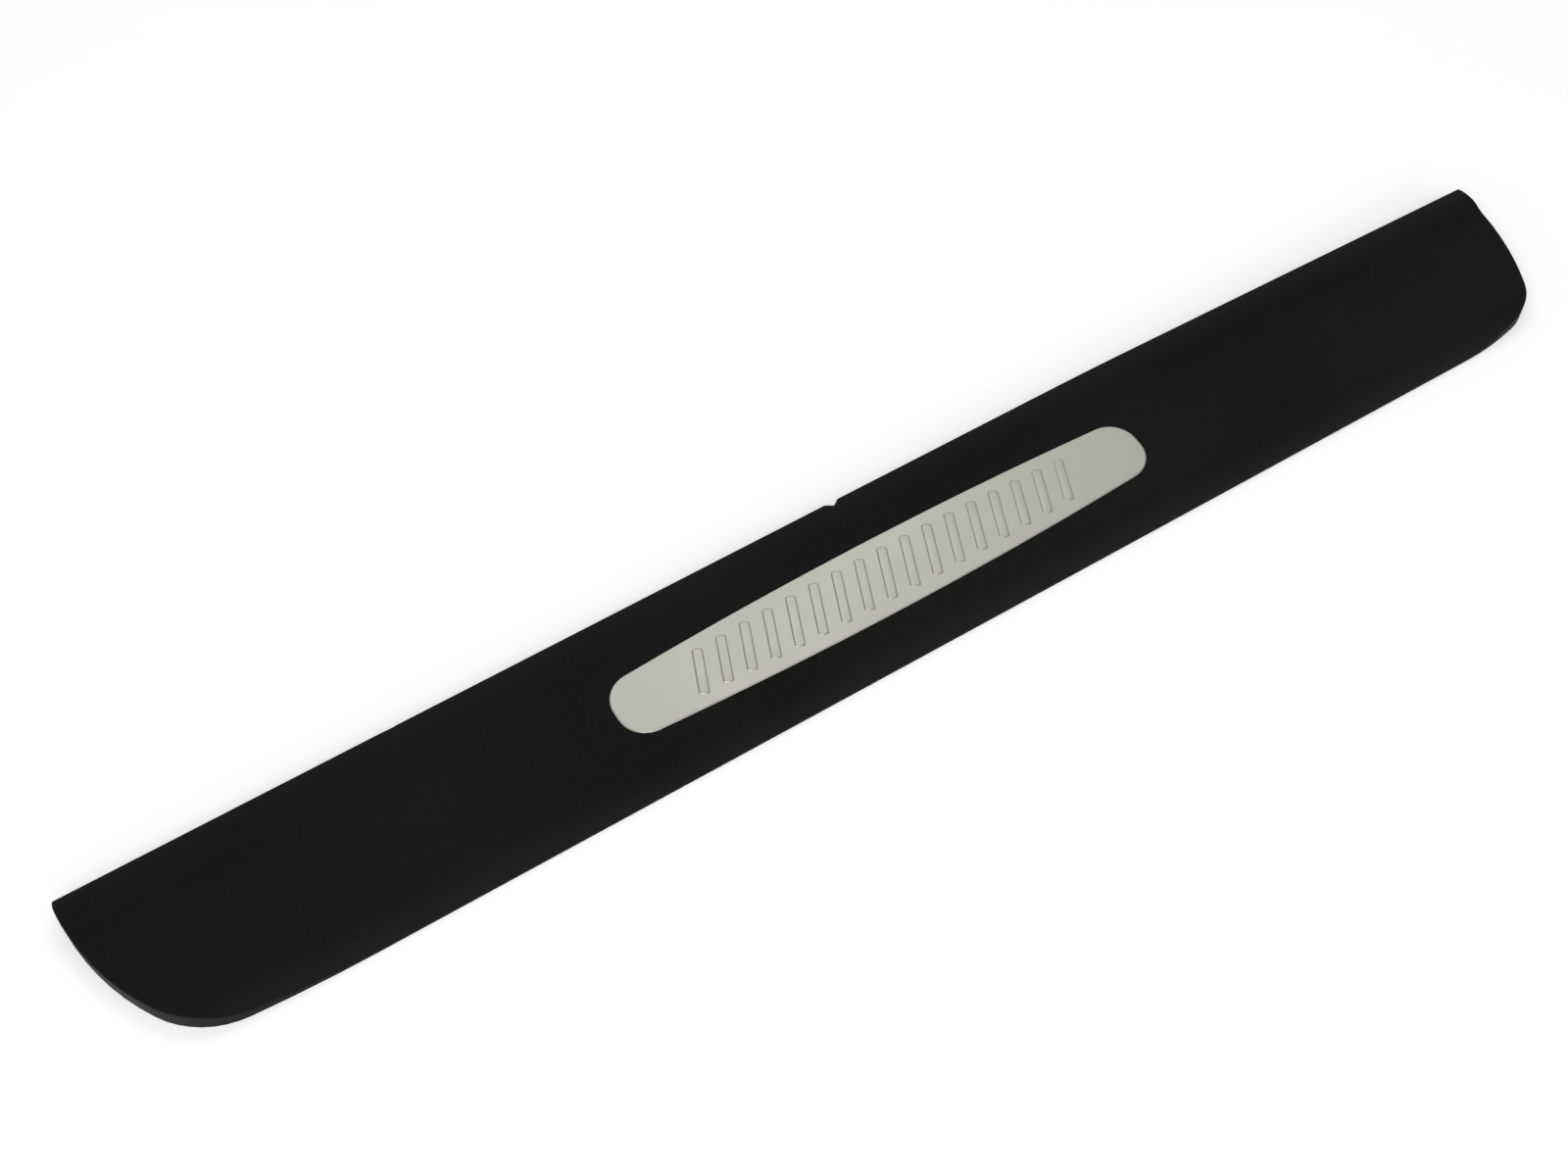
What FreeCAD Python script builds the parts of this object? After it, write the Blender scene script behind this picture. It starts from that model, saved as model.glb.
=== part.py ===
import FreeCAD, Part
import math
import os

# Car door sill plate: a black moulded cover with a let-in aluminium plate.
# X runs along the sill, +Y points to the cabin, +Z is up. Millimetres.
# The rest plane is z = 0, and x = y = 0 is the middle of the cover's outline.

# Cover, seen from above
cover_length = 904.4
cover_width = 103.2
sweep_radius_left = 900.0
sweep_radius_right = 160.0
sweep_angle_left = 4.3
sweep_angle_right = 14.0
corner_radius_left = 51.0
corner_radius_right = 30.0
end_radius_left = 134.0
end_radius_right = 162.0
heel_radius_left = 18.0
heel_radius_right = 37.0
heel_inset = 6.0
edge_corner_radius = 1.6
bend_start = 154.4
bend_radius = 2600.0
bend_angle = 1.14

# Cover, seen in section
field_height = 13.0
wall = 2.5
lip_radius = 17.0
lip_land = 1.5
ridge_height = 2.1
ridge_crest = 12.0
ridge_run = 11.0
ridge_back_radius = 41.0
edge_round = 1.2

# Marks in the cabin-side edge
notch_x = 3.9
notch_width = 8.6
notch_depth = 3.5
notch_root_radius = 0.9
nick_x = -266.0
nick_width = 11.0
nick_depth = 0.6

# Inlay plate and the tape that holds it
inlay_x = 4.6
inlay_y = -4.0
inlay_length = 336.0
inlay_width = 46.8
inlay_side_radius = 2600.0
inlay_corner_radius = 16.5
inlay_thickness = 1.2
inlay_edge_round = 0.35
inlay_gap = 0.35
recess_depth = 1.5
recess_floor = 2.0
recess_margin = 3.5
tape_thickness = 0.8
tape_inset = 2.5

# Raised tread bars pressed into the plate
tread_count = 17
tread_pitch = 14.6
tread_width = 6.4
tread_margin = 7.4
tread_slant = 22.0
tread_end_radius = 6.0
tread_height = 0.4
tread_bevel = 0.3

# Ribs and posts under the cover
panel_height = 5.0
rib_thickness = 1.3
rib_bay_count = 16
rib_end_margin = 36.2
spine_thickness = 1.6
spine_spacing = 42.0
pin_radius = 3.0
pin_tip_height = 1.0
pin_chamfer = 0.8
pin_bay_numbers = (2, 13)

# Towers that hold the push clips
clip_bay_numbers = (0, 3, 6, 9, 12, 15)
tower_length = 20.0
tower_depth = 19.0
tower_wall = 1.6
tower_plate = 1.4
tower_lift = 1.2
slot_clearance = 0.3

# Push clip, a flat-sided moulding
clip_head_size = 13.0
clip_head_thickness = 1.2
clip_neck_size = 5.0
clip_collar_size = 12.0
clip_collar_thickness = 0.7
clip_collar_corner = 2.0
clip_shank_width = 6.0
clip_shank_depth = 5.0
clip_barb_width = 7.8
clip_barb_height = 3.1
clip_barb_rise = 0.35
clip_tip_width = 3.4
clip_tip_height = 0.5
clip_slit = 1.1

# Foam seal under each clip's collar, and foam pads against rattle
seal_thickness = 1.0
seal_size = 12.6
seal_clearance = 0.3
pad_bay_numbers = (1, 5, 10, 14)
pad_length = 36.0
pad_width = 24.0
pad_proud = 0.6

# How far shapes reach past what they cut or are cut by, and the limits for picking edges
overrun = 12.0
hollow_overrun = 1.0
upright_limit = 1e-3
length_limit = 1e-6

# Worked out from the sizes above
x_left = -cover_length / 2
x_right = cover_length / 2
y_outer = -cover_width / 2
y_inner = cover_width / 2
ceiling = field_height - wall
bend_turn = math.radians(bend_angle)
rib_pitch = (cover_length - 2 * rib_end_margin) / rib_bay_count
plate_top = field_height - recess_depth + tape_thickness + inlay_thickness


def vec(x, y, z=0.0):
    return FreeCAD.Vector(x, y, z)


def line(a, b):
    return Part.LineSegment(a, b).toShape()


def arc(centre, radius, start, end, plane="xy"):
    """Arc about a centre between two angles in degrees, in the xy or the yz plane."""
    points = []
    for angle in (start, (start + end) / 2, end):
        u = radius * math.cos(math.radians(angle))
        v = radius * math.sin(math.radians(angle))
        if plane == "xy":
            points.append(vec(centre[0] + u, centre[1] + v))
        else:
            points.append(vec(0.0, centre[0] + u, centre[1] + v))
    return Part.Arc(*points).toShape()


def prism(edges, bottom, top):
    """Closed outline in the xy plane, pushed up between two heights."""
    face = Part.Face(Part.Wire(Part.__sortEdges__(edges)))
    face.translate(vec(0, 0, bottom))
    return face.extrude(vec(0, 0, top - bottom))


def centred_box(x, y, length, width, bottom, top):
    corner = vec(x - length / 2, y - width / 2, bottom)
    return Part.makeBox(length, width, top - bottom, corner)


def bay_x(number):
    """Middle of a bay between two cross ribs, counted from the left."""
    return (number + 0.5 - rib_bay_count / 2) * rib_pitch


def inner_edge(offset=0.0, reach=0.0):
    """Points of the cabin-side edge, offset into the cover: start, bend start, middle, end, finish."""
    centre = vec(bend_start, y_inner - bend_radius)
    radius = bend_radius - offset

    def on_bend(turn):
        return centre + vec(radius * math.sin(turn), radius * math.cos(turn))

    begin = vec(x_left - reach, y_inner - offset)
    after = on_bend(bend_turn)
    run = (x_right + reach - after.x) / math.cos(bend_turn)
    finish = after + vec(run * math.cos(bend_turn), -run * math.sin(bend_turn))
    return begin, on_bend(0.0), on_bend(bend_turn / 2), after, finish


def end_shape(side, radii, sweep_angle, offset):
    """Arcs of one rounded end, from the outer edge round to the cabin-side edge."""
    sweep_radius, corner_radius, end_radius, heel_radius = radii
    edge_y = y_inner if side < 0 else inner_edge()[4].y
    widest = edge_y - heel_inset
    x_end = side * cover_length / 2
    end_c = (x_end - side * end_radius, widest)
    turn = math.radians(sweep_angle)
    corner_y = y_outer + sweep_radius - (sweep_radius - corner_radius) * math.cos(turn)
    drop = widest - corner_y
    across = math.sqrt((end_radius - corner_radius) ** 2 - drop ** 2)
    corner_c = (end_c[0] + side * across, corner_y)
    back = side * (sweep_radius - corner_radius) * math.sin(turn)
    sweep_c = (corner_c[0] - back, y_outer + sweep_radius)
    heel_c = (x_end - side * heel_radius, widest)
    meet = math.degrees(math.asin(drop / (end_radius - corner_radius)))
    heel_end = heel_turn(side, heel_c, heel_radius - offset, offset)
    steps = (
        (sweep_c, sweep_radius, 90, 90 - sweep_angle),
        (corner_c, corner_radius, 90 - sweep_angle, meet),
        (end_c, end_radius, meet, 0),
        (heel_c, heel_radius, 0, -heel_end),
    )
    edges = []
    for centre, radius, start, finish in steps:
        if side < 0:
            start, finish = 180 - start, 180 - finish
        edges.append(arc(centre, radius - offset, -start, -finish))
    return edges, edges[0].Vertexes[0].Point, edges[-1].Vertexes[-1].Point


def heel_turn(side, centre, radius, offset):
    """Angle at which an end's last arc meets the cabin-side edge."""
    begin, _, _, after, _ = inner_edge(offset)
    if side < 0:
        return math.degrees(math.asin((begin.y - centre[1]) / radius))
    slope = math.tan(bend_turn)
    reach = after.y - slope * (centre[0] - after.x) - centre[1]
    return math.degrees(math.asin(reach * math.cos(bend_turn) / radius)) - bend_angle


def outline_prism(offset, bottom, top):
    """The cover's outline, offset inwards, as an upright solid."""
    right_radii = (sweep_radius_right, corner_radius_right, end_radius_right, heel_radius_right)
    left_radii = (sweep_radius_left, corner_radius_left, end_radius_left, heel_radius_left)
    right, right_low, right_high = end_shape(1, right_radii, sweep_angle_right, offset)
    left, left_low, left_high = end_shape(-1, left_radii, sweep_angle_left, offset)
    _, bend_a, bend_m, bend_b, _ = inner_edge(offset)
    edges = right + left
    edges.append(line(left_low, right_low))
    edges.append(line(left_high, bend_a))
    edges.append(Part.Arc(bend_a, bend_m, bend_b).toShape())
    edges.append(line(bend_b, right_high))
    return prism(edges, bottom, top)


def lip_body(offset, bottom):
    """Flat field with the outer edge rolled down, full length."""
    radius = lip_radius - offset
    centre_z = field_height - lip_radius
    land_z = lip_land - centre_z
    centre_y = y_outer + math.sqrt(lip_radius ** 2 - land_z ** 2)
    low = math.degrees(math.asin((bottom - centre_z) / radius))
    start = vec(0, centre_y - radius * math.cos(math.radians(low)), bottom)
    top = vec(0, centre_y, centre_z + radius)
    far_top = vec(0, y_inner + overrun, centre_z + radius)
    far_low = vec(0, y_inner + overrun, bottom)
    edges = [
        arc((centre_y, centre_z), radius, 180 - low, 90, "yz"),
        line(top, far_top),
        line(far_top, far_low),
        line(far_low, start),
    ]
    face = Part.Face(Part.Wire(Part.__sortEdges__(edges)))
    face.translate(vec(x_left - overrun, 0, 0))
    return face.extrude(vec(cover_length + 2 * overrun, 0, 0))


def ridge_face(offset, bottom):
    """Section of the raised cabin-side ridge in the yz plane, with the edge at y = 0."""
    crest_y = -ridge_crest
    crest_z = field_height + ridge_height
    slope_radius = (ridge_run ** 2 + ridge_height ** 2) / (4 * ridge_height)
    swing = math.degrees(math.asin(ridge_run / 2 / slope_radius))
    back_c = (crest_y, crest_z - ridge_back_radius)
    back_r = ridge_back_radius - offset
    out = math.degrees(math.asin((ridge_crest + overrun) / ridge_back_radius))
    front_c = (crest_y, crest_z - slope_radius)
    foot_c = (crest_y - ridge_run, field_height + slope_radius)
    top_foot = vec(0, foot_c[0], foot_c[1] - slope_radius - offset)
    edges = [
        arc(back_c, back_r, 90 - out, 90, "yz"),
        arc(front_c, slope_radius - offset, 90, 90 + swing, "yz"),
        arc(foot_c, slope_radius + offset, 270 + swing, 270, "yz"),
    ]
    high_out = edges[0].Vertexes[0].Point
    low_out = vec(0, high_out.y, bottom)
    low_foot = vec(0, top_foot.y, bottom)
    edges.append(line(top_foot, low_foot))
    edges.append(line(low_foot, low_out))
    edges.append(line(low_out, high_out))
    return Part.Face(Part.Wire(Part.__sortEdges__(edges)))


def ridge_body(offset, bottom):
    """The ridge follows the cabin-side edge: straight, a slight bend, straight again."""
    begin, bend_a, _, bend_b, finish = inner_edge(0.0, overrun)
    face = ridge_face(offset, bottom)
    face.translate(begin)
    first = face.extrude(bend_a - begin)
    face.translate(bend_a - begin)
    axis_point = vec(bend_start, y_inner - bend_radius)
    bend = face.revolve(axis_point, vec(0, 0, 1), -bend_angle)
    face.rotate(axis_point, vec(0, 0, 1), -bend_angle)
    last = face.extrude(finish - bend_b)
    return first.fuse([bend, last]).removeSplitter()


def formed_body(plan_offset, section_offset, bottom):
    """Outline and section together, for the outside and, offset, for the hollow."""
    section = lip_body(section_offset, bottom).fuse(ridge_body(section_offset, bottom))
    plan = outline_prism(plan_offset, bottom, field_height + ridge_height + overrun)
    return section.common(plan).removeSplitter()


def round_top_edges(body):
    """Small radius where the top surface meets the upright walls."""
    chosen = []
    for edge in body.Edges:
        faces = body.ancestorsOfType(edge, Part.Face)
        uprights = 0
        for face in faces:
            u, v = face.Surface.parameter(edge.CenterOfMass)
            if abs(face.normalAt(u, v).z) < upright_limit:
                uprights += 1
        box = edge.BoundBox
        if uprights == 1 and box.ZMin > lip_land / 2:
            chosen.append(edge)
    return body.makeFillet(edge_round, chosen)


def round_plan_corners(body):
    """The two tight corners at the ends of the cabin-side edge."""
    chosen = []
    for edge in body.Edges:
        box = edge.BoundBox
        upright = box.ZLength > wall and max(box.XLength, box.YLength) < length_limit
        near_end = abs(box.XMin) > cover_length / 2 - rib_end_margin
        if upright and near_end and box.YMin > cover_width / 3:
            chosen.append(edge)
    return body.makeFillet(edge_corner_radius, chosen)


def inlay_outline(grow):
    """Outline of the inlay plate: two shallow side arcs and four corner arcs."""
    half_length = inlay_length / 2 + grow
    corner = inlay_corner_radius + grow
    side = inlay_side_radius + grow
    side_c = inlay_width / 2 - inlay_side_radius
    corner_x = half_length - corner
    corner_y = side_c + math.sqrt((side - corner) ** 2 - corner_x ** 2)
    swing = math.degrees(math.atan2(corner_y - side_c, corner_x))
    edges = []
    for sx in (1, -1):
        end_x = inlay_x + sx * half_length
        edges.append(line(vec(end_x, inlay_y - corner_y), vec(end_x, inlay_y + corner_y)))
        for sy in (1, -1):
            centre = (inlay_x + sx * corner_x, inlay_y + sy * corner_y)
            base = 0 if sx > 0 else 180
            edges.append(arc(centre, corner, base, base + sx * sy * swing))
    for sy in (1, -1):
        centre = (inlay_x, inlay_y + sy * side_c)
        edges.append(arc(centre, side, sy * swing, sy * (180 - swing)))
    return edges


def notch_cutter():
    """Small vee through the ridge and its wall, with a round root."""
    half = notch_width / 2
    root_y = y_inner - notch_depth
    flank = math.atan2(notch_depth, half)
    centre_y = root_y + notch_root_radius
    touch = vec(notch_root_radius * math.sin(flank), -notch_root_radius * math.cos(flank))
    open_x = touch.x + (y_inner + wall - centre_y - touch.y) / math.tan(flank)
    low_left = vec(notch_x - touch.x, centre_y + touch.y)
    low_right = vec(notch_x + touch.x, centre_y + touch.y)
    top_left = vec(notch_x - open_x, y_inner + wall)
    top_right = vec(notch_x + open_x, y_inner + wall)
    root = Part.Arc(low_left, vec(notch_x, root_y), low_right).toShape()
    edges = [root, line(low_right, top_right), line(top_right, top_left), line(top_left, low_left)]
    return prism(edges, -overrun, field_height + overrun)


def nick_cutter():
    """Shallow hollow in the cabin-side edge."""
    radius = (nick_width ** 2 / 4 + nick_depth ** 2) / (2 * nick_depth)
    base = vec(nick_x, y_inner - nick_depth + radius, field_height - wall)
    return Part.makeCylinder(radius, overrun, base)


def rib_lattice(hollow):
    """Cross ribs and two long ribs, trimmed to the hollow."""
    ribs = []
    for index in range(rib_bay_count + 1):
        x = (index - rib_bay_count / 2) * rib_pitch
        ribs.append(centred_box(x, 0, rib_thickness, cover_width, panel_height, field_height))
    for side in (-1, 1):
        y = inlay_y + side * spine_spacing / 2
        ribs.append(centred_box(0, y, cover_length, spine_thickness, panel_height, field_height))
    lattice = ribs[0].fuse(ribs[1:])
    return lattice.common(hollow)


def clip_tower(x):
    """Box with a slotted plate: a clip's head slides in from the cabin side."""
    bottom = panel_height + tower_lift
    block = centred_box(x, inlay_y, tower_length, tower_depth, bottom, ceiling)
    inside = tower_length - 2 * tower_wall
    room_top = ceiling + wall / 2
    room = centred_box(x, inlay_y + tower_wall, inside, tower_depth, bottom + tower_plate, room_top)
    slot_half = clip_neck_size / 2 + slot_clearance
    slot = centred_box(x, inlay_y + tower_depth / 2, 2 * slot_half, tower_depth, 0, field_height)
    slot_end = centred_box(x, inlay_y, 2 * slot_half, 2 * slot_half, 0, field_height)
    return block.cut(room).cut(slot.fuse(slot_end))


def locating_pin(x):
    """Moulded pin with a chamfered tip."""
    pin = Part.makeCylinder(pin_radius, ceiling - pin_tip_height, vec(x, inlay_y, pin_tip_height))
    tip = [edge for edge in pin.Edges if abs(edge.BoundBox.ZMax - pin_tip_height) < length_limit]
    return pin.makeChamfer(pin_chamfer, tip)


def make_hollow():
    """Room under the cover, less the thicker floor below the inlay."""
    hollow = formed_body(wall, wall, -hollow_overrun)
    floor_low = field_height - recess_depth - recess_floor
    floor = prism(inlay_outline(recess_margin), floor_low, field_height - wall / 2)
    return hollow.cut(floor)


def make_cover(hollow):
    body = round_plan_corners(formed_body(0.0, 0.0, 0.0))
    body = round_top_edges(body)
    towers = [clip_tower(bay_x(bay)) for bay in clip_bay_numbers]
    pins = [locating_pin(bay_x(bay)) for bay in pin_bay_numbers]
    shell = body.cut(hollow)
    shell = shell.fuse([rib_lattice(hollow)] + towers + pins)
    recess = prism(inlay_outline(inlay_gap), field_height - recess_depth, field_height + overrun)
    for cutter in (recess, notch_cutter(), nick_cutter()):
        shell = shell.cut(cutter)
    return shell.removeSplitter()


def tread_bar(x, half_height):
    """One slanted bar with shallow curved ends and bevelled sides."""
    half = tread_width / 2
    low = plate_top - inlay_thickness / 2
    top = plate_top + tread_height
    bulge = tread_end_radius - math.sqrt(tread_end_radius ** 2 - half ** 2)
    shoulder = half_height - bulge
    edges = []
    for side in (1, -1):
        start = vec(side * half, side * shoulder)
        finish = vec(-side * half, side * shoulder)
        edges.append(Part.Arc(start, vec(0, side * half_height), finish).toShape())
        edges.append(line(finish, vec(-side * half, -side * shoulder)))
    bar = prism(edges, low, top)
    rim = [edge for edge in bar.Edges if edge.BoundBox.ZMin > top - length_limit]
    bar = bar.makeChamfer(tread_bevel, rim)
    bar.rotate(vec(0, 0, 0), vec(0, 0, 1), -tread_slant)
    bar.translate(vec(x, inlay_y, 0))
    return bar


def make_inlay():
    plate = prism(inlay_outline(0.0), plate_top - inlay_thickness, plate_top)
    rim = [edge for edge in plate.Edges if edge.BoundBox.ZMin > plate_top - length_limit]
    plate = plate.makeFillet(inlay_edge_round, rim)
    bars = []
    for index in range(tread_count):
        along = (index - (tread_count - 1) / 2) * tread_pitch
        sag = inlay_side_radius - math.sqrt(inlay_side_radius ** 2 - along ** 2)
        reach = inlay_width / 2 - sag - tread_margin
        bars.append(tread_bar(inlay_x + along, reach / math.cos(math.radians(tread_slant))))
    return plate.fuse(bars).removeSplitter()


def make_tape():
    bottom = field_height - recess_depth
    return prism(inlay_outline(-tape_inset), bottom, bottom + tape_thickness)


def push_clip(x):
    """Head, neck, collar and two barbed legs that can spring together."""
    plate_low = panel_height + tower_lift
    seat = plate_low + tower_plate
    collar_low = plate_low - clip_collar_thickness
    head = centred_box(0, 0, clip_head_size, clip_head_size, seat, seat + clip_head_thickness)
    neck = centred_box(0, 0, clip_neck_size, clip_neck_size, plate_low, seat)
    collar = centred_box(0, 0, clip_collar_size, clip_collar_size, collar_low, plate_low)
    upright = [edge for edge in collar.Edges if edge.BoundBox.ZLength > clip_collar_thickness / 2]
    collar = collar.makeChamfer(clip_collar_corner, upright)
    half_outline = [
        (clip_shank_width / 2, collar_low),
        (clip_shank_width / 2, clip_barb_height + clip_barb_rise),
        (clip_barb_width / 2, clip_barb_height),
        (clip_tip_width / 2, clip_tip_height),
    ]
    points = [vec(u, -clip_shank_depth / 2, z) for u, z in half_outline]
    points += [vec(-u, -clip_shank_depth / 2, z) for u, z in reversed(half_outline)]
    points.append(points[0])
    legs = Part.Face(Part.makePolygon(points)).extrude(vec(0, clip_shank_depth, 0))
    slit_top = clip_barb_height + 2 * clip_barb_rise
    slit = centred_box(0, 0, clip_slit, 2 * clip_shank_depth, 0, slit_top)
    clip = head.fuse([neck, collar, legs.cut(slit)]).removeSplitter()
    clip.translate(vec(x, inlay_y, 0))
    return clip


def clip_seal(x):
    """Square of foam with a window for the clip's legs."""
    top = panel_height + tower_lift - clip_collar_thickness
    low = top - seal_thickness
    sheet = centred_box(x, inlay_y, seal_size, seal_size, low, top)
    window_x = clip_shank_width + 2 * seal_clearance
    window_y = clip_shank_depth + 2 * seal_clearance
    return sheet.cut(centred_box(x, inlay_y, window_x, window_y, low, top))


def foam_pad(x, hollow):
    """Foam block stuck to the ceiling of a bay, whatever the ceiling's height there."""
    low = panel_height - pad_proud
    pad = centred_box(x, inlay_y, pad_length, pad_width, low, field_height)
    return pad.common(hollow).Solids[0]


def save(name, solids):
    shape = solids[0] if len(solids) == 1 else Part.makeCompound(solids)
    shape.exportStep("parts/" + name + ".step")
    volume = sum(solid.Volume for solid in solids)
    box = shape.BoundBox
    print(name, "solids", len(shape.Solids), "valid", shape.isValid(), "volume %.0f" % volume)
    print("   x %.2f %.2f  y %.2f %.2f  z %.2f %.2f" % (
        box.XMin, box.XMax, box.YMin, box.YMax, box.ZMin, box.ZMax))


os.makedirs("parts", exist_ok=True)
under_space = make_hollow()
save("sill_cover", [make_cover(under_space)])
save("inlay_plate", [make_inlay()])
save("inlay_tape", [make_tape()])
save("push_clips", [push_clip(bay_x(bay)) for bay in clip_bay_numbers])
save("clip_seals", [clip_seal(bay_x(bay)) for bay in clip_bay_numbers])
save("foam_pads", [foam_pad(bay_x(bay), under_space) for bay in pad_bay_numbers])
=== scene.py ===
"""Looks of a car door sill plate: a grained black moulding with a satin aluminium inlay, on pale paper."""

import math

import bpy
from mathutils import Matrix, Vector


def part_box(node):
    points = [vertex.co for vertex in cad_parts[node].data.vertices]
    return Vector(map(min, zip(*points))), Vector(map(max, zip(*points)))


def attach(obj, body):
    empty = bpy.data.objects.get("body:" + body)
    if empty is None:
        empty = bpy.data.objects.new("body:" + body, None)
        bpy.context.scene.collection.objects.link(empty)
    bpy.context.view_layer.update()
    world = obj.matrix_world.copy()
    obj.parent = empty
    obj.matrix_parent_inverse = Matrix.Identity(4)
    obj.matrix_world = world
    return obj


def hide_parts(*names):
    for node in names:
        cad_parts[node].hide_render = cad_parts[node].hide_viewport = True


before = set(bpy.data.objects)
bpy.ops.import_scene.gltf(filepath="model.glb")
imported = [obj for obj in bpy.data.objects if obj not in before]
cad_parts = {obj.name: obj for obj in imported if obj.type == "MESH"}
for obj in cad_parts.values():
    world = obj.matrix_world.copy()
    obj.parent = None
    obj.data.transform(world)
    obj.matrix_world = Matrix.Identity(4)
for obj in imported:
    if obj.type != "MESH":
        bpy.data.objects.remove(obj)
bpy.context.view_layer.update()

# Camera, solved from the outline of the inlay plate in the photograph. The sensor is in
# millimetres, the place in metres and the angles in degrees.
PHOTO_WIDTH = 1600.0
FOCAL_PIXELS = 2309.3
SENSOR_WIDTH = 36.0
CAMERA_PLACE = (-0.3965, -0.5435, 1.0320)
CAMERA_PITCH = 57.05
CAMERA_YAW = 31.89

# Studio: a white floor and low white surround under a dim ceiling, with three soft boxes.
# Places and sizes are in metres, and powers in watts.
FLOOR_HALF = 7.0
FLOOR_DROP = 0.0002
FLOOR_COLOUR = (0.94, 0.94, 0.94, 1.0)
FLOOR_GLOW = 0.35
SURROUND_LIGHT = 1.0
CEILING_LIGHT = 0.26
SURROUND_TOP = 0.20
CEILING_START = 0.45
BACK_BOX = {"place": (0.42, 1.00, 1.75), "size": (1.5, 1.1), "power": 6.4}
KEY_BOX = {"place": (-1.0, -1.05, 1.75), "size": (1.5, 1.5), "power": 18.5}
FRONT_BOX = {"place": (0.50, -1.80, 0.85), "size": (1.3, 0.4), "power": 5.8}
LIGHT_TARGET = (0.0, 0.0, 0.0)

# Inlay plate: the edge of the sheet and its raised tread bars, in metres and degrees
PLATE_SIDE_RADIUS = 2.6
PLATE_CORNER_RADIUS = 0.0165
PLATE_THICKNESS = 0.0012
PLATE_ROLL = 0.0007
PLATE_ROLL_STEPS = 7
PLATE_ARC_STEPS = 20
BAR_COUNT = 17
BAR_PITCH = 0.0146
BAR_WIDTH = 0.0064
BAR_MARGIN = 0.0074
BAR_SLANT = 22.0
BAR_HEIGHT = 0.0004
BAR_END_RADIUS = 0.006
BAR_END_STEPS = 6
BAR_CORNER_RADIUS = 0.0012
BAR_CORNER_STEPS = 5
BAR_SHOULDER = 0.0011
BAR_SHOULDER_STEPS = 7
BAR_SUNK = 0.00003

# Grain: the span of a noise that is stretched over a colour or roughness range, how coarse
# the noise that bends pebbles is beside them, and how wide the creases between pebbles are
NOISE_SPAN = (0.3, 0.7)
PEBBLE_BEND_SCALE = 0.6
PEBBLE_CREASE = 0.22


def ring_mesh(rings):
    """Vertices and faces of closed rings joined one to the next, with a face over the first and last."""
    size = len(rings[0])
    points = [point for ring in rings for point in ring]
    faces = []
    for level in range(len(rings) - 1):
        for step in range(size):
            after = (step + 1) % size
            low = level * size
            high = low + size
            faces.append((low + step, low + after, high + after, high + step))
    faces.append(tuple(reversed(range(size))))
    faces.append(tuple(range(len(points) - size, len(points))))
    return points, faces


def turn_arc(centre, radius, start, finish, steps):
    """Points of an arc between two angles in radians, both ends included."""
    points = []
    for step in range(steps + 1):
        angle = start + (finish - start) * step / steps
        points.append((centre[0] + radius * math.cos(angle), centre[1] + radius * math.sin(angle)))
    return points


def plate_outline(centre, half_length, half_width, inset):
    """The plate seen from above, inset from its edge: two long shallow sides and four corner arcs."""
    side = PLATE_SIDE_RADIUS - inset
    corner = PLATE_CORNER_RADIUS - inset
    side_y = half_width - PLATE_SIDE_RADIUS
    corner_x = half_length - PLATE_CORNER_RADIUS
    corner_y = side_y + math.sqrt((PLATE_SIDE_RADIUS - PLATE_CORNER_RADIUS) ** 2 - corner_x ** 2)
    swing = math.atan2(corner_y - side_y, corner_x)
    quarter = turn_arc((corner_x, corner_y), corner, 0.0, swing, PLATE_ARC_STEPS)
    long_side = turn_arc((0.0, side_y), side, swing, math.pi - swing, 4 * PLATE_ARC_STEPS)[1:-1]
    left = [(-x, y) for x, y in reversed(quarter)]
    upper = quarter + long_side + left
    lower = [(-x, -y) for x, y in upper]
    return [(centre[0] + x, centre[1] + y) for x, y in upper + lower]


def make_plate(centre, half_length, half_width, top):
    """Sheet with a softly rolled upper edge."""
    rings = []
    for inset, height in ((0.0, top - PLATE_THICKNESS), (0.0, top - PLATE_ROLL)):
        rings.append([(x, y, height) for x, y in plate_outline(centre, half_length, half_width, inset)])
    for step in range(1, PLATE_ROLL_STEPS + 1):
        turn = math.pi / 2 * step / PLATE_ROLL_STEPS
        inset = PLATE_ROLL * (1 - math.cos(turn))
        height = top - PLATE_ROLL * (1 - math.sin(turn))
        rings.append([(x, y, height) for x, y in plate_outline(centre, half_length, half_width, inset)])
    inner = plate_outline(centre, half_length, half_width, 2 * PLATE_ROLL)
    rings.append([(x, y, top) for x, y in inner])
    return ring_mesh(rings)


def bar_outline(half_height, inset):
    """One tread bar seen from above: straight sides, shallow curved ends and small corners."""
    half = BAR_WIDTH / 2
    end = BAR_END_RADIUS - inset
    corner = BAR_CORNER_RADIUS - inset
    end_y = half_height - BAR_END_RADIUS
    corner_x = half - BAR_CORNER_RADIUS
    corner_y = end_y + math.sqrt((BAR_END_RADIUS - BAR_CORNER_RADIUS) ** 2 - corner_x ** 2)
    swing = math.atan2(corner_y - end_y, corner_x)
    quarter = turn_arc((corner_x, corner_y), corner, 0.0, swing, BAR_CORNER_STEPS)
    cap = turn_arc((0.0, end_y), end, swing, math.pi - swing, BAR_END_STEPS)[1:-1]
    left = [(-x, y) for x, y in reversed(quarter)]
    upper = quarter + cap + left
    return upper + [(-x, -y) for x, y in upper]


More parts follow.
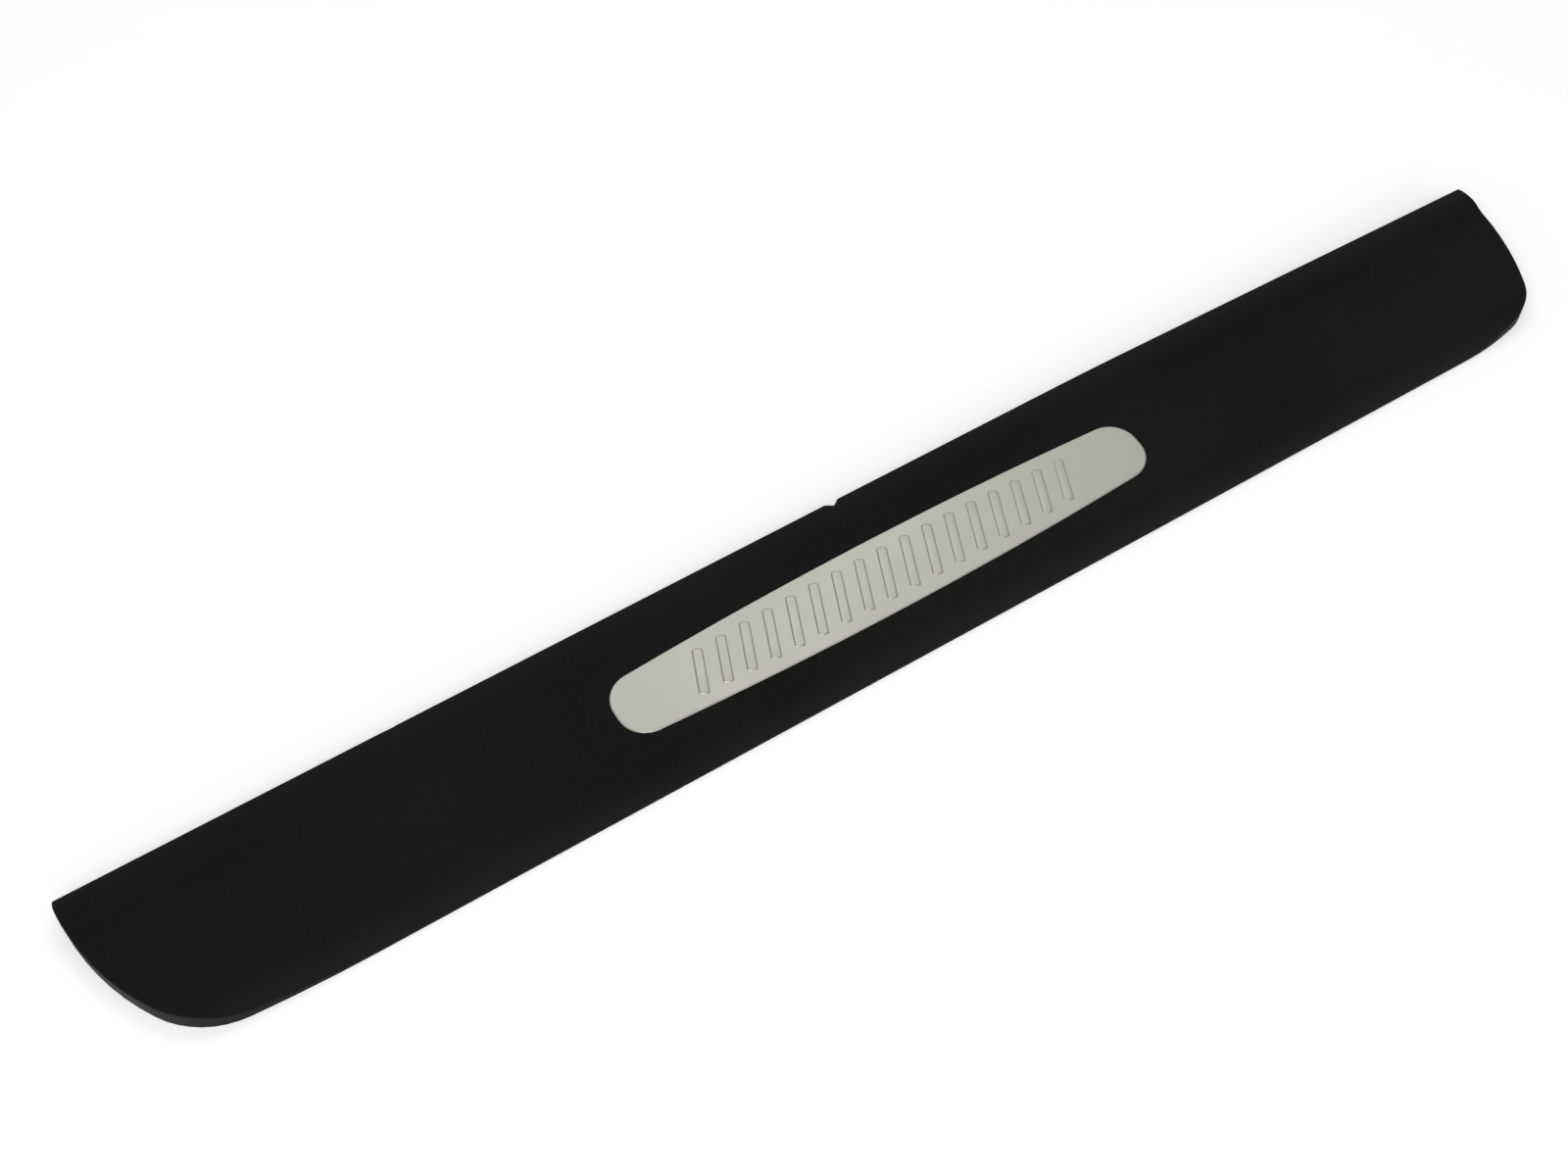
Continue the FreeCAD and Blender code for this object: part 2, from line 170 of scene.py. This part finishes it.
def make_bar(place, half_height, top):
    """Raised bar whose sides rise in an S curve, as in pressed sheet."""
    cosine = math.cos(math.radians(-BAR_SLANT))
    sine = math.sin(math.radians(-BAR_SLANT))
    rings = []
    for step in range(BAR_SHOULDER_STEPS + 1):
        share = step / BAR_SHOULDER_STEPS
        rise = share * share * (3 - 2 * share)
        height = top - BAR_SUNK + (BAR_HEIGHT + BAR_SUNK) * rise
        ring = bar_outline(half_height, BAR_SHOULDER * share)
        rings.append([(place[0] + x * cosine - y * sine, place[1] + x * sine + y * cosine, height)
                      for x, y in ring])
    return ring_mesh(rings)


def make_inlay(finish):
    """The inlay plate with a row of slanted tread bars, in place of the plain solid."""
    low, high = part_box("inlay_plate")
    centre = ((low.x + high.x) / 2, (low.y + high.y) / 2)
    half_length = (high.x - low.x) / 2
    half_width = (high.y - low.y) / 2
    top = high.z - BAR_HEIGHT
    points, faces = make_plate(centre, half_length, half_width, top)
    for index in range(BAR_COUNT):
        along = (index - (BAR_COUNT - 1) / 2) * BAR_PITCH
        sag = PLATE_SIDE_RADIUS - math.sqrt(PLATE_SIDE_RADIUS ** 2 - along ** 2)
        reach = (half_width - sag - BAR_MARGIN) / math.cos(math.radians(BAR_SLANT))
        bar_points, bar_faces = make_bar((centre[0] + along, centre[1]), reach, top)
        first = len(points)
        points += bar_points
        faces += [tuple(first + corner for corner in face) for face in bar_faces]
    mesh = bpy.data.meshes.new("inlay_sheet")
    mesh.from_pydata(points, [], faces)
    mesh.polygons.foreach_set("use_smooth", [True] * len(mesh.polygons))
    mesh.materials.append(finish)
    sheet = bpy.data.objects.new("inlay_sheet", mesh)
    bpy.context.scene.collection.objects.link(sheet)
    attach(sheet, "root")
    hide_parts("inlay_plate")


def material(name):
    """A new material with its shader node, and a coordinate node in the part's own frame."""
    made = bpy.data.materials.new(name)
    made.use_nodes = True
    tree = made.node_tree
    shader = tree.nodes["Principled BSDF"]
    place = tree.nodes.new("ShaderNodeTexCoord").outputs["Object"]
    return made, tree, shader, place


def noise(tree, place, scale, detail=2.0, roughness=0.5, distortion=0.0):
    node = tree.nodes.new("ShaderNodeTexNoise")
    node.inputs["Scale"].default_value = scale
    node.inputs["Detail"].default_value = detail
    node.inputs["Roughness"].default_value = roughness
    node.inputs["Distortion"].default_value = distortion
    tree.links.new(place, node.inputs["Vector"])
    return node.outputs["Fac"]


def stretched(tree, place, scale):
    """Coordinates scaled by a different amount along each axis."""
    node = tree.nodes.new("ShaderNodeMapping")
    node.inputs["Scale"].default_value = scale
    tree.links.new(place, node.inputs["Vector"])
    return node.outputs["Vector"]


def pebbles(tree, place, scale, wander):
    """Cells with creases between them, as on grained plastic. wander bends the cells, in metres."""
    warp = tree.nodes.new("ShaderNodeTexNoise")
    warp.inputs["Scale"].default_value = scale * PEBBLE_BEND_SCALE
    tree.links.new(place, warp.inputs["Vector"])
    centred = tree.nodes.new("ShaderNodeVectorMath")
    centred.operation = "MULTIPLY_ADD"
    centred.inputs[1].default_value = (wander, wander, wander)
    tree.links.new(warp.outputs["Color"], centred.inputs[0])
    tree.links.new(place, centred.inputs[2])
    cells = tree.nodes.new("ShaderNodeTexVoronoi")
    cells.feature = "DISTANCE_TO_EDGE"
    cells.inputs["Scale"].default_value = scale
    tree.links.new(centred.outputs["Vector"], cells.inputs["Vector"])
    return ranged(tree, cells.outputs["Distance"], (0.0, PEBBLE_CREASE), (0.0, 1.0))


def ranged(tree, value, source, target):
    """The value moved from one range to another, held at the ends."""
    node = tree.nodes.new("ShaderNodeMapRange")
    node.interpolation_type = "SMOOTHSTEP"
    node.inputs["From Min"].default_value = source[0]
    node.inputs["From Max"].default_value = source[1]
    node.inputs["To Min"].default_value = target[0]
    node.inputs["To Max"].default_value = target[1]
    tree.links.new(value, node.inputs["Value"])
    return node.outputs["Result"]


def added(tree, first, second, share):
    """first + second * share"""
    node = tree.nodes.new("ShaderNodeMath")
    node.operation = "MULTIPLY_ADD"
    node.inputs[1].default_value = share
    tree.links.new(second, node.inputs[0])
    tree.links.new(first, node.inputs[2])
    return node.outputs["Value"]


def blended(tree, factor, low, high):
    """Colour between low and high."""
    node = tree.nodes.new("ShaderNodeMix")
    node.data_type = "RGBA"
    node.inputs["A"].default_value = (*low, 1.0)
    node.inputs["B"].default_value = (*high, 1.0)
    tree.links.new(factor, node.inputs["Factor"])
    return node.outputs["Result"]


def bump(tree, shader, height, distance, strength=1.0):
    """Relief from a height of 0 to 1, distance metres deep."""
    node = tree.nodes.new("ShaderNodeBump")
    node.inputs["Distance"].default_value = distance
    node.inputs["Strength"].default_value = strength
    tree.links.new(height, node.inputs["Height"])
    tree.links.new(node.outputs["Normal"], shader.inputs["Normal"])


def set_roughness(tree, shader, value, low, high):
    result = ranged(tree, value, NOISE_SPAN, (low, high))
    tree.links.new(result, shader.inputs["Roughness"])


def set_colour(tree, shader, value, low, high):
    factor = ranged(tree, value, NOISE_SPAN, (0.0, 1.0))
    tree.links.new(blended(tree, factor, low, high), shader.inputs["Base Color"])


def cover_material():
    """Black moulding with a fine pebbled grain, about one pebble to a millimetre."""
    made, tree, shader, place = material("cover_plastic")
    grain = pebbles(tree, place, scale=900.0, wander=0.0006)
    fine = noise(tree, place, scale=3500.0, detail=3.0)
    broad = noise(tree, place, scale=9.0, detail=3.0)
    dark = (0.0060, 0.0061, 0.0063)
    light = (0.0104, 0.0104, 0.0102)
    set_colour(tree, shader, added(tree, broad, grain, 0.25), dark, light)
    set_roughness(tree, shader, added(tree, broad, fine, 0.15), 0.47, 0.55)
    shader.inputs["IOR"].default_value = 1.15
    bump(tree, shader, added(tree, grain, fine, 0.35), 0.00012)
    return made


def inlay_material():
    """Satin aluminium sheet with a faint grain along its length."""
    made, tree, shader, place = material("inlay_aluminium")
    along = stretched(tree, place, (60.0, 2400.0, 2400.0))
    brushed = noise(tree, along, scale=1.0, detail=4.0, roughness=0.6)
    speckle = noise(tree, place, scale=2600.0)
    broad = noise(tree, place, scale=14.0)
    dark = (0.526, 0.520, 0.461)
    light = (0.566, 0.559, 0.496)
    set_colour(tree, shader, added(tree, broad, brushed, 0.25), dark, light)
    set_roughness(tree, shader, added(tree, broad, speckle, 0.3), 0.36, 0.44)
    shader.inputs["Metallic"].default_value = 1.0
    bump(tree, shader, added(tree, speckle, brushed, 0.8), 0.00001, 0.5)
    return made


def tape_material():
    """Black foam tape with small cells."""
    made, tree, shader, place = material("tape_foam")
    cells = pebbles(tree, place, scale=1800.0, wander=0.0003)
    set_colour(tree, shader, cells, (0.012, 0.012, 0.012), (0.03, 0.03, 0.03))
    set_roughness(tree, shader, cells, 0.8, 0.95)
    bump(tree, shader, cells, 0.00008, 0.6)
    return made


def clip_material():
    """Natural polymer, slightly cloudy, with the faint flow marks of a small moulding."""
    made, tree, shader, place = material("clip_polymer")
    cloud = noise(tree, place, scale=260.0, detail=3.0)
    upright = stretched(tree, place, (900.0, 900.0, 220.0))
    flow = noise(tree, upright, scale=1.0, detail=3.0, distortion=0.6)
    set_colour(tree, shader, cloud, (0.70, 0.685, 0.63), (0.80, 0.79, 0.74))
    set_roughness(tree, shader, flow, 0.34, 0.48)
    shader.inputs["Subsurface Weight"].default_value = 0.12
    shader.inputs["Subsurface Radius"].default_value = (0.002, 0.0018, 0.0014)
    bump(tree, shader, flow, 0.00004, 0.5)
    return made


def foam_material():
    """Closed-cell foam rubber with pores of about half a millimetre."""
    made, tree, shader, place = material("closed_cell_foam")
    pores = pebbles(tree, place, scale=2200.0, wander=0.0002)
    broad = noise(tree, place, scale=120.0)
    dark = (0.012, 0.012, 0.013)
    light = (0.045, 0.045, 0.047)
    set_colour(tree, shader, added(tree, pores, broad, 0.4), dark, light)
    set_roughness(tree, shader, pores, 0.85, 0.97)
    bump(tree, shader, pores, 0.0002, 0.8)
    return made


def dress(node, finish):
    """Every slot of a CAD node gets the one finish."""
    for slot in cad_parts[node].material_slots:
        slot.material = finish


def make_floor():
    """Pale floor just under the part. Its glow is seen, but doesn't light the part's diffuse surfaces."""
    corners = [(-1, -1), (1, -1), (1, 1), (-1, 1)]
    mesh = bpy.data.meshes.new("floor")
    points = [(x * FLOOR_HALF, y * FLOOR_HALF, -FLOOR_DROP) for x, y in corners]
    mesh.from_pydata(points, [], [(0, 1, 2, 3)])
    floor = bpy.data.objects.new("floor", mesh)
    bpy.context.scene.collection.objects.link(floor)
    made, tree, shader, _ = material("floor_paper")
    shader.inputs["Base Color"].default_value = FLOOR_COLOUR
    shader.inputs["Roughness"].default_value = 0.9
    shader.inputs["Specular IOR Level"].default_value = 0.0
    shader.inputs["Emission Color"].default_value = (1.0, 1.0, 1.0, 1.0)
    path = tree.nodes.new("ShaderNodeLightPath")
    seen = added(tree, path.outputs["Is Camera Ray"], path.outputs["Is Glossy Ray"], 1.0)
    seen = added(tree, seen, path.outputs["Is Transmission Ray"], 1.0)
    glow = ranged(tree, seen, (0.0, 1.0), (0.0, FLOOR_GLOW))
    tree.links.new(glow, shader.inputs["Emission Strength"])
    mesh.materials.append(made)


def make_surround():
    """White near the horizon and dim overhead, the same for every ray."""
    world = bpy.data.worlds.new("surround")
    world.use_nodes = True
    bpy.context.scene.world = world
    tree = world.node_tree
    direction = tree.nodes.new("ShaderNodeTexCoord").outputs["Generated"]
    split = tree.nodes.new("ShaderNodeSeparateXYZ")
    tree.links.new(direction, split.inputs["Vector"])
    level = ranged(tree, split.outputs["Z"], (SURROUND_TOP, CEILING_START), (SURROUND_LIGHT, CEILING_LIGHT))
    tree.links.new(level, tree.nodes["Background"].inputs["Strength"])
    tree.nodes["Background"].inputs["Color"].default_value = (1.0, 1.0, 1.0, 1.0)


def make_soft_box(name, box):
    """A rectangular lamp that faces the part."""
    lamp = bpy.data.lights.new(name, "AREA")
    lamp.shape = "RECTANGLE"
    lamp.size, lamp.size_y = box["size"]
    lamp.energy = box["power"]
    holder = bpy.data.objects.new(name, lamp)
    bpy.context.scene.collection.objects.link(holder)
    holder.location = box["place"]
    away = holder.location - Vector(LIGHT_TARGET)
    holder.rotation_euler = away.to_track_quat("Z", "Y").to_euler()


def make_camera():
    """The camera at the photograph's place and angle."""
    lens = bpy.data.cameras.new("camera")
    lens.sensor_fit = "HORIZONTAL"
    lens.sensor_width = SENSOR_WIDTH
    lens.lens = FOCAL_PIXELS / PHOTO_WIDTH * SENSOR_WIDTH
    lens.clip_start = 0.01
    camera = bpy.data.objects.new("camera", lens)
    bpy.context.scene.collection.objects.link(camera)
    camera.location = CAMERA_PLACE
    camera.rotation_euler = (math.radians(90.0 - CAMERA_PITCH), 0.0, math.radians(-CAMERA_YAW))
    bpy.context.scene.camera = camera


dress("sill_cover", cover_material())
make_inlay(inlay_material())
dress("inlay_tape", tape_material())
dress("push_clips", clip_material())
foam = foam_material()
dress("clip_seals", foam)
dress("foam_pads", foam)

make_floor()
make_surround()
make_soft_box("back_soft_box", BACK_BOX)
make_soft_box("key_soft_box", KEY_BOX)
make_soft_box("front_soft_box", FRONT_BOX)
make_camera()
bpy.context.scene.view_settings.view_transform = "Standard"
